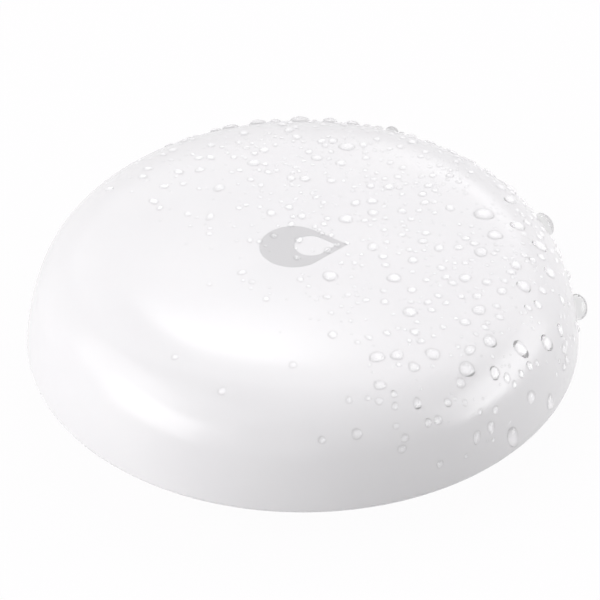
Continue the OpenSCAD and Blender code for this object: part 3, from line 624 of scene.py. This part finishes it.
CELL_RING = moulded("cell_ring", (0.03, 0.03, 0.032), (0.05, 0.05, 0.052), (0.4, 0.5), 5000.0, 0.01)
PROBE_LOW, PROBE_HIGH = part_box("sensing_probes")
PROBE_AT = (PROBE_HIGH[0] - (PROBE_HIGH[1] - PROBE_LOW[1]) / 2) / MM
PROBE_STEEL = turned_metal("probe_steel", (0.56, 0.55, 0.53), (0.66, 0.65, 0.63), (0.16, 0.34), PROBE_AT)
SCREW_STEEL = brushed("screw_steel", (0.55, 0.56, 0.57), (0.64, 0.65, 0.66), (0.25, 0.38),
                      (1.0, 1.0, 40.0))
CRYSTAL_CAN = brushed("crystal_can", (0.6, 0.58, 0.54), (0.7, 0.68, 0.64), (0.3, 0.42), (40.0, 1.0, 1.0))
TRACK_GOLD = brushed("track_gold", (0.72, 0.50, 0.20), (0.80, 0.58, 0.26), (0.28, 0.4), (1.0, 1.0, 1.0))
SWITCH_METAL = brushed("switch_metal", (0.58, 0.58, 0.58), (0.68, 0.68, 0.67), (0.28, 0.4),
                       (1.0, 40.0, 1.0))
CONTACT_GOLD = brushed("contact_gold", (0.70, 0.52, 0.24), (0.80, 0.62, 0.32), (0.22, 0.36),
                       (1.0, 40.0, 1.0))
CELL_STEEL = turned_metal("cell_steel", (0.60, 0.59, 0.57), (0.70, 0.69, 0.67), (0.2, 0.36), 0.0)
BOARD_GREEN = lacquered_board()
PIPE_CLEAR = clear_pipe()
WATER = clear_water()

CAD_FINISHES = {
    "base_housing": BASE_WHITE, "battery_door": DOOR_WHITE, "feet": FOOT_RUBBER, "cover_seal": SEAL_GREY,
    "door_seal": SEAL_GREY, "probe_seals": SEAL_GREY, "sensing_probes": PROBE_STEEL,
    "board_screws": SCREW_STEEL, "circuit_board": BOARD_GREEN, "radio_chip": CHIP_BLACK,
    "memory_chip": CHIP_BLACK, "crystal": CRYSTAL_CAN, "passives": PASSIVE_BODY,
    "antenna_trace": TRACK_GOLD, "indicator_led": LED_BODY, "light_pipe": PIPE_CLEAR,
    "switch_body": SWITCH_BLACK, "switch_plate": SWITCH_METAL, "switch_terminals": SWITCH_METAL,
    "switch_stem": STEM_WHITE, "negative_contact": CONTACT_GOLD, "positive_contact": CONTACT_GOLD,
    "battery_can": CELL_STEEL, "battery_gasket": CELL_RING, "battery_cap": CELL_STEEL,
}
for node, finish in CAD_FINISHES.items():
    for place in NODES[node].material_slots:
        place.material = finish


# Cover
def flank_x(z, inset):
    """Radius of the flank at height z, for a surface that lies inset below the outer one."""
    return FLANK_C.x + math.sqrt((FLANK_R - inset) ** 2 - (z - FLANK_C.y) ** 2)


def crown_z(r):
    """Height of the crown at radius r."""
    return BODY_H - r * r / (2 * CROWN_R) - FALL * (r / CROWN_P.x) ** FALL_POWER


def crown_points(inset, steps):
    """Points of the crown, or of a surface inset below it, from the middle out."""
    points = []
    for i in range(1, steps + 1):
        r = CROWN_P.x * (i / steps) ** CROWN_CROWDING
        slope = r / CROWN_R + FALL_POWER * FALL / CROWN_P.x * (r / CROWN_P.x) ** (FALL_POWER - 1)
        normal = Vector((slope, 1.0)).normalized()
        points.append(Vector((r, crown_z(r))) - inset * normal)
    return points


def mould_on(piece, form, operation):
    """Joins a form to a piece in one skin, or takes it away."""
    step = piece.modifiers.new(form.name, "BOOLEAN")
    step.object = form
    step.operation = operation
    only_selected(piece)
    bpy.ops.object.modifier_apply(modifier=step.name)
    bpy.data.objects.remove(form)


def rod(name, x, r, low, high):
    """Upright rod whose axis is at x."""
    piece = Pen(name, 0, high).line(r, high).line(r, low).line(0, low).turned(ROD_STEPS)
    piece.data.transform(Matrix.Translation((x * MM, 0, 0)))
    return piece


def rib_bar(turn, low, high):
    """Two ribs in line, on either side of the post."""
    nothing_selected()
    bpy.ops.mesh.primitive_cube_add(size=MM, enter_editmode=True, location=(0, 0, 0))
    bpy.ops.transform.resize(value=(2 * RIB_REACH, RIB_T, high - low))
    bpy.ops.transform.translate(value=(0, 0, (low + high) / 2 * MM))
    bpy.ops.transform.rotate(value=turn, orient_axis="Z", center_override=(0, 0, 0))
    bpy.ops.object.mode_set(mode="OBJECT")
    return bpy.context.object


def snap_bead(turn):
    """One of the beads that hold the cover on the base."""
    root_r = BODY_R - SKIRT_INSET + SNAP_ROOT
    in_r = BODY_R - SKIRT_INSET - SNAP_OUT
    top_z = SKIRT_TOP_Z - SKIRT_LIP
    low_z = top_z - SNAP_H
    pen = Pen("snap_bead", root_r, low_z - SNAP_ROOT)
    for x, z in ((in_r, low_z + SNAP_OUT), (in_r, top_z), (root_r, top_z), (root_r, low_z - SNAP_ROOT)):
        pen.line(x, z)
    bpy.ops.mesh.select_all(action="SELECT")
    bpy.ops.mesh.remove_doubles(threshold=MERGE_GAP)
    bpy.ops.mesh.edge_face_add()
    bpy.ops.mesh.spin(steps=SNAP_STEPS, angle=SNAP_ARC, center=(0, 0, 0), axis=(0, 0, 1))
    close_mesh()
    bead = bpy.context.object
    bead.data.transform(Matrix.Rotation(turn, 4, "Z"))
    return bead


def mould_inside(shell):
    """Post, ribs, socket and snap beads, in one with the shell."""
    ceiling_z = BODY_H - COVER_WALL
    root_z = BODY_H - COVER_WALL / 2
    post_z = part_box("switch_stem")[1][2] / MM + POST_GAP
    pipe_low, pipe_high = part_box("light_pipe")
    pipe_x = (pipe_low[0] + pipe_high[0]) / 2 / MM
    hole_r = (pipe_high[0] - pipe_low[0]) / 2 / MM + PIPE_GAP
    socket_z = ceiling_z - SOCKET_H
    rib_z = max(ceiling_z - RIB_H, post_z)
    post = rod("post", 0.0, POST_R, post_z, root_z)
    for turn in (math.pi / 4, -math.pi / 4):
        mould_on(post, rib_bar(turn, rib_z, root_z), "UNION")
    mould_on(post, rod("socket", pipe_x, hole_r + SOCKET_WALL, socket_z, root_z), "UNION")
    beads = [snap_bead(i * 2 * math.pi / SNAP_COUNT - SNAP_ARC / 2) for i in range(SNAP_COUNT)]
    only_selected(post)
    for bead in beads:
        bead.select_set(True)
    bpy.ops.object.join()
    mould_on(shell, post, "UNION")
    hole = rod("pipe_hole", pipe_x, hole_r, socket_z - SOCKET_WALL, BODY_H - WINDOW_T)
    mould_on(shell, hole, "DIFFERENCE")


def cover_shell():
    """One skin: outside from the crown to the rim, groove and bore of the skirt, then the hollow."""
    rim_x = flank_x(COVER_Z, COVER_WALL)
    core_z = COVER_Z + CORE_H
    core_x = flank_x(core_z, COVER_WALL)
    skirt_r = BODY_R - SKIRT_INSET
    hollow_x = flank_x(SKIRT_TOP_Z, COVER_WALL)
    hollow_lean = math.asin((SKIRT_TOP_Z - FLANK_C.y) / (FLANK_R - COVER_WALL))
    shoulder_turn = math.pi / 2 - CROWN_LEAN - SHOULDER_LEAN
    pen = Pen("cover_shell", 0, BODY_H)
    for point in crown_points(0.0, CROWN_STEPS):
        pen.line(*point)
    pen.arc(SHOULDER_C, shoulder_turn, SHOULDER_STEPS)
    pen.arc(FLANK_C, SHOULDER_LEAN - FLANK_LEAN, FLANK_STEPS)
    pen.arc(EDGE_C, math.pi / 2 + FLANK_LEAN, EDGE_STEPS)
    for x, z in ((rim_x, COVER_Z), (core_x, core_z), (core_x - CORE_W, core_z), (rim_x - CORE_W, COVER_Z),
                 (skirt_r, COVER_Z), (skirt_r, SKIRT_TOP_Z), (hollow_x, SKIRT_TOP_Z)):
        pen.line(x, z)
    pen.arc(FLANK_C, hollow_lean - SHOULDER_LEAN, HOLLOW_FLANK_STEPS)
    pen.arc(SHOULDER_C, -shoulder_turn, HOLLOW_SHOULDER_STEPS)
    for point in reversed(crown_points(COVER_WALL, HOLLOW_CROWN_STEPS)[:-1]):
        pen.line(*point)
    pen.line(0, BODY_H - COVER_WALL)
    shell = pen.turned(TURN_STEPS)
    mould_inside(shell)
    smooth(shell)
    dress(shell, COVER_WHITE, "cover")
    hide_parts("top_cover")
    return shell


def drop_loop(radius, to_tip, tip_x):
    """Outline of a drop with its tip towards +X: a circle whose sector at the tip is drawn out to a
    point."""
    centre_x = (tip_x - to_tip) * MM
    bpy.ops.mesh.primitive_circle_add(vertices=SIGN_STEPS, radius=radius * MM, fill_type="NOTHING",
                                      location=(centre_x, 0, 0))
    half_sector = math.acos(radius / to_tip)
    mesh = bmesh.from_edit_mesh(bpy.context.object.data)
    for v in [v for v in mesh.verts if v.select]:
        v.select = abs(math.atan2(v.co.y, v.co.x - centre_x)) < half_sector
    mesh.select_flush_mode()
    bpy.ops.mesh.merge(type="CENTER")
    tip = next(v for v in bmesh.from_edit_mesh(bpy.context.object.data).verts if v.select)
    bpy.ops.transform.translate(value=(tip_x * MM - tip.co.x, -tip.co.y, 0))
    sides = list(tip.link_edges)
    bpy.ops.mesh.select_all(action="DESELECT")
    for side in sides:
        side.select = True
    bpy.ops.mesh.subdivide(number_cuts=SIGN_SIDE_CUTS)


def drop_sign():
    """Printed sign on the crown: a drop with a smaller drop left open in it."""
    sign = blank_piece("drop_sign")
    drop_loop(SIGN_R, SIGN_TO_TIP, SIGN_TIP_X)
    bpy.ops.mesh.select_all(action="DESELECT")
    drop_loop(SIGN_R * SIGN_OPEN, SIGN_TO_TIP * SIGN_OPEN, SIGN_TIP_X - SIGN_TIP_MARGIN)
    bpy.ops.mesh.select_all(action="SELECT")
    bpy.ops.mesh.bridge_edge_loops(number_cuts=SIGN_BAND_CUTS, interpolation="LINEAR", smoothness=0.0)
    bpy.ops.mesh.select_all(action="SELECT")
    bpy.ops.transform.rotate(value=-SIGN_TURN, orient_axis="Z", center_override=(0, 0, 0))
    bpy.ops.transform.translate(value=(0, SIGN_Y * MM, 0))
    bpy.ops.mesh.normals_make_consistent(inside=False)
    bpy.ops.object.mode_set(mode="OBJECT")
    for v in sign.data.vertices:
        v.co.z = (crown_z(math.hypot(v.co.x, v.co.y) / MM) + SIGN_PROUD) * MM
    if sign.data.polygons[0].normal.z < 0:
        sign.data.flip_normals()
    ink = sign.modifiers.new("ink", "SOLIDIFY")
    ink.thickness = SIGN_T * MM
    ink.offset = -1.0
    bpy.ops.object.modifier_apply(modifier="ink")
    smooth(sign)
    dress(sign, SIGN_GREY, "cover")


# Marks underneath
def mark_blank(vertices, radius, angle, away):
    """Adds the flat outline of a mark, pointing outwards, to the piece in edit mode; leaves it selected."""
    bpy.ops.mesh.select_all(action="DESELECT")
    bpy.ops.mesh.primitive_circle_add(vertices=vertices, radius=radius * MM, fill_type="NGON",
                                      location=(0, 0, 0))
    bpy.ops.transform.rotate(value=math.pi / 2 - angle, orient_axis="Z", center_override=(0, 0, 0))
    bpy.ops.transform.translate(value=(away * math.cos(angle) * MM, away * math.sin(angle) * MM, 0))


def raised_marks(name, node, material, body, draw_marks):
    """Moulds marks that stand out of the lower face of a node."""
    marks = blank_piece(name)
    draw_marks()
    bpy.ops.mesh.select_all(action="SELECT")
    bpy.ops.transform.translate(value=(0, 0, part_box(node)[0][2] + MARK_SINK * MM))
    bpy.ops.mesh.extrude_region_move(
        TRANSFORM_OT_translate={"value": (0, 0, -(MARK_SINK + MARK_PROUD) * MM)})
    bpy.ops.mesh.region_to_loop()
    bpy.ops.mesh.bevel(offset=MARK_EDGE * MM, segments=2)
    close_mesh()
    smooth(marks)
    dress(marks, material, body)


def door_pointer():
    mark_blank(3, POINTER_R, LOCKED_AT, POINTER_AT)
    bpy.ops.mesh.bevel(offset=POINTER_ROUND * POINTER_R * MM, segments=3, affect="VERTICES")


def lock_marks():
    twist = next(j for j in frame["joints"] if j["name"] == "door_twist")
    free_at = LOCKED_AT - math.radians(twist["range_deg"][1])
    mark_blank(MARK_STEPS, BASE_MARK_R, LOCKED_AT, BASE_MARK_AT)
    mark_blank(MARK_STEPS, BASE_MARK_R, free_at, BASE_MARK_AT)
    bpy.ops.mesh.inset(thickness=RING_W * MM)
    bpy.ops.mesh.delete(type="FACE")


# Drops of water
def water_cap(name, segments, rings, cut=BEAD_CUT, lift_share=1.0):
    """A bead of water of radius 1 at its foot and height 1; its attribute lift rises from foot to top and
    sets the painted light in the water.
    """
    nothing_selected()
    bpy.ops.mesh.primitive_uv_sphere_add(segments=segments, ring_count=rings, radius=1.0,
                                         enter_editmode=True, location=(0, 0, 0))
    bead = bpy.context.object
    bead.name = name
    bpy.ops.mesh.select_all(action="SELECT")
    bpy.ops.mesh.bisect(plane_co=(0, 0, cut), plane_no=(0, 0, 1), clear_inner=True, use_fill=True)
    bpy.ops.mesh.select_all(action="SELECT")
    bpy.ops.transform.translate(value=(0, 0, -cut))
    foot = math.sqrt(1 - cut ** 2)
    bpy.ops.transform.resize(value=(1 / foot, 1 / foot, 1 / (1 - cut)), center_override=(0, 0, 0))
    bpy.ops.transform.translate(value=(0, 0, -BEAD_SINK))
    close_mesh()
    lift = bead.data.attributes.new("lift", "FLOAT", "POINT")
    for v, level in zip(bead.data.vertices, lift.data):
        a = math.atan2(v.co.y, v.co.x)
        reach = 1 + BEAD_WOBBLE[0] * math.cos(3 * a) + BEAD_WOBBLE[1] * math.sin(2 * a)
        v.co.x *= reach
        v.co.y *= reach
        level.value = v.co.z * lift_share
    smooth(bead, BEAD_SMOOTH_ANGLE)
    return bead


def add_bead(cap, place, normal, width, along, height, draw, beads):
    """One bead with its foot at place; along is its length down the slope over its width."""
    down = Vector((0, 0, -1)) - normal * normal.dot(Vector((0, 0, -1)))
    down = down.normalized() if down.length > FLAT_SLOPE else Vector((0, -1, 0))
    across = down.cross(normal)
    basis = Matrix((across, down, normal)).transposed().to_4x4()
    swing = Matrix.Rotation(draw.uniform(-BEAD_SWING, BEAD_SWING), 4, "Z")
    size = Matrix.Diagonal((width, width * along, width * height, 1.0))
    turn = Matrix.Rotation(draw.uniform(0.0, 2 * math.pi), 4, "Z")
    mesh = cap.data.copy()
    mesh.transform(Matrix.Translation(place) @ basis @ swing @ size @ turn)
    beads.from_mesh(mesh)
    bpy.data.meshes.remove(mesh)


def on_outline(azimuth):
    """Point and normal at an azimuth in degrees where the cover turns away from the camera."""
    a = math.radians(azimuth)
    lean = math.atan2(math.sin(a), math.tan(VIEW_ELEVATION))
    centre, r = SHOULDER_C, SHOULDER_R
    if lean < FLANK_LEAN:
        centre, r = EDGE_C, EDGE_R
    elif lean < SHOULDER_LEAN:
        centre, r = FLANK_C, FLANK_R
    outward = Vector((math.cos(a), math.sin(a), 0))
    normal = outward * math.cos(lean) + Vector((0, 0, math.sin(lean)))
    return (outward * centre.x + Vector((0, 0, centre.y)) + r * normal) * MM, normal


def water_beads(shell):
    """Large beads where the photograph shows them, beads on the outline, and small ones scattered."""
    fine = water_cap("fine_cap", *FINE_CAP)
    plain = water_cap("plain_cap", *PLAIN_CAP)
    full = water_cap("full_cap", *FINE_CAP, FULL_CUT, FULL_LIFT)
    draw = random.Random(BEAD_SEED)
    beads, taken = bmesh.new(), []
    for px, py, wide, along, height in LARGE_BEADS:
        found = on_cover(shell, px, py)
        if found:
            r = wide / 2 * PX_MM * MM
            add_bead(fine, *found, r, along, height, draw, beads)
            taken.append((found[0], r * max(1.0, along)))
    for azimuth, r, along, height in EDGE_BEADS:
        place, normal = on_outline(azimuth)
        cap = full if height > FULL_FROM else fine
        add_bead(cap, place, normal, r * MM, along, height, draw, beads)
        taken.append((place, r * MM * max(1.0, along)))
    for _ in range(SMALL_TRIES):
        azimuth = draw.uniform(0.0, 360.0)
        reach = math.sqrt(draw.random()) * (BODY_R - WET_MARGIN)
        size, chance = draw.random(), draw.random()
        x, y = reach * math.cos(math.radians(azimuth)), reach * math.sin(math.radians(azimuth))
        if chance > WET_MIDDLE + WET_SLOPE * (x + WET_REAR * y):
            continue
        above = Vector((x * MM, y * MM, 2 * BODY_H * MM))
        hit, place, normal, _ = shell.ray_cast(above, Vector((0, 0, -1)))
        r = between(SMALL_R, size ** 2) * MM
        if not hit or any((place - other).length < BEAD_SPACING * (r + gap) for other, gap in taken):
            continue
        along, height = between(SMALL_ALONG, size), between(SMALL_HEIGHT, chance)
        add_bead(plain, place, normal, r, along, height, draw, beads)
        taken.append((place, r))
    bpy.data.objects.remove(plain)
    bpy.data.objects.remove(full)
    beads.to_mesh(fine.data)
    beads.free()
    fine.name = "water_beads"
    dress(fine, WATER, "cover")


# Studio
def seen_white(tree):
    """A mask that is 1 for rays that show the background: camera, glossy and transmission rays that have
    not met a matt surface on their way, so that water lets through as much light as falls beside it."""
    path = tree.nodes.new("ShaderNodeLightPath")
    mask = path.outputs["Is Camera Ray"]
    for label in ("Is Glossy Ray", "Is Transmission Ray"):
        mask = maths(tree, "MAXIMUM", mask, path.outputs[label])
    straight = maths(tree, "LESS_THAN", path.outputs["Diffuse Depth"], FIRST_BOUNCE)
    return maths(tree, "MULTIPLY", mask, straight)


def white_table():
    """White to the camera, apart from the sensor's shadow. It throws little light back up, and it has no
    underside and casts no shadow, so that the lamps below it light the sensor's underside."""
    nothing_selected()
    bpy.ops.mesh.primitive_plane_add(size=FLOOR_SIZE, location=(0, 0, -FLOOR_GAP))
    table = bpy.context.object
    table.name = "white_table"
    table.visible_shadow = False
    material = bpy.data.materials.new("table_white")
    material.use_nodes = True
    tree = material.node_tree
    tree.nodes.remove(tree.nodes["Principled BSDF"])
    path = tree.nodes.new("ShaderNodeLightPath")
    matt = tree.nodes.new("ShaderNodeBsdfDiffuse")
    tree.links.new(ranged(tree, path.outputs["Is Camera Ray"], FLOOR_TINTS), matt.inputs["Color"])
    glow = tree.nodes.new("ShaderNodeEmission")
    glow.inputs["Color"].default_value = FLOOR_WHITE
    share = maths(tree, "MULTIPLY", seen_white(tree), FLOOR_GLOW)
    top = mixed(tree, share, matt.outputs["BSDF"], glow.outputs["Emission"])
    side = tree.nodes.new("ShaderNodeNewGeometry")
    clear = tree.nodes.new("ShaderNodeBsdfTransparent")
    one_sided = mixed(tree, side.outputs["Backfacing"], top, clear.outputs["BSDF"])
    tree.links.new(one_sided, tree.nodes["Material Output"].inputs["Surface"])
    table.data.materials.append(material)


def studio_world():
    """Dim light from all round, which the camera, metal and glass see as white."""
    world = bpy.data.worlds.new("studio")
    bpy.context.scene.world = world
    world.use_nodes = True
    tree = world.node_tree
    dim = tree.nodes["Background"]
    dim.inputs["Color"].default_value = WORLD_DIM
    white = tree.nodes.new("ShaderNodeBackground")
    white.inputs["Color"].default_value = WORLD_WHITE
    shown = mixed(tree, seen_white(tree), dim.outputs["Background"], white.outputs["Background"])
    tree.links.new(shown, tree.nodes["World Output"].inputs["Surface"])


def softbox(name, azimuth, elevation, width, height, watts):
    """A lamp that faces the sensor; azimuth 0 is behind it, 90 to its right."""
    a, e = math.radians(azimuth), math.radians(elevation)
    towards = Vector((math.sin(a) * math.cos(e), math.cos(a) * math.cos(e), math.sin(e)))
    nothing_selected()
    bpy.ops.object.light_add(type="AREA", location=towards * LAMP_DISTANCE + Vector((0, 0, LAMP_AIM_Z)))
    lamp = bpy.context.object
    lamp.name = name
    lamp.rotation_euler = towards.to_track_quat("Z", "Y").to_euler()
    lamp.data.shape = "RECTANGLE"
    lamp.data.size = width
    lamp.data.size_y = height
    lamp.data.energy = watts


SHELL = cover_shell()
drop_sign()
water_beads(SHELL)
raised_marks("door_pointer", "battery_door", SIGN_GREY, "door", door_pointer)
raised_marks("lock_marks", "base_housing", SIGN_GREY, "base", lock_marks)
white_table()
studio_world()
for lamp in SOFTBOXES:
    softbox(*lamp)

scene = bpy.context.scene
scene.view_settings.view_transform = "Standard"
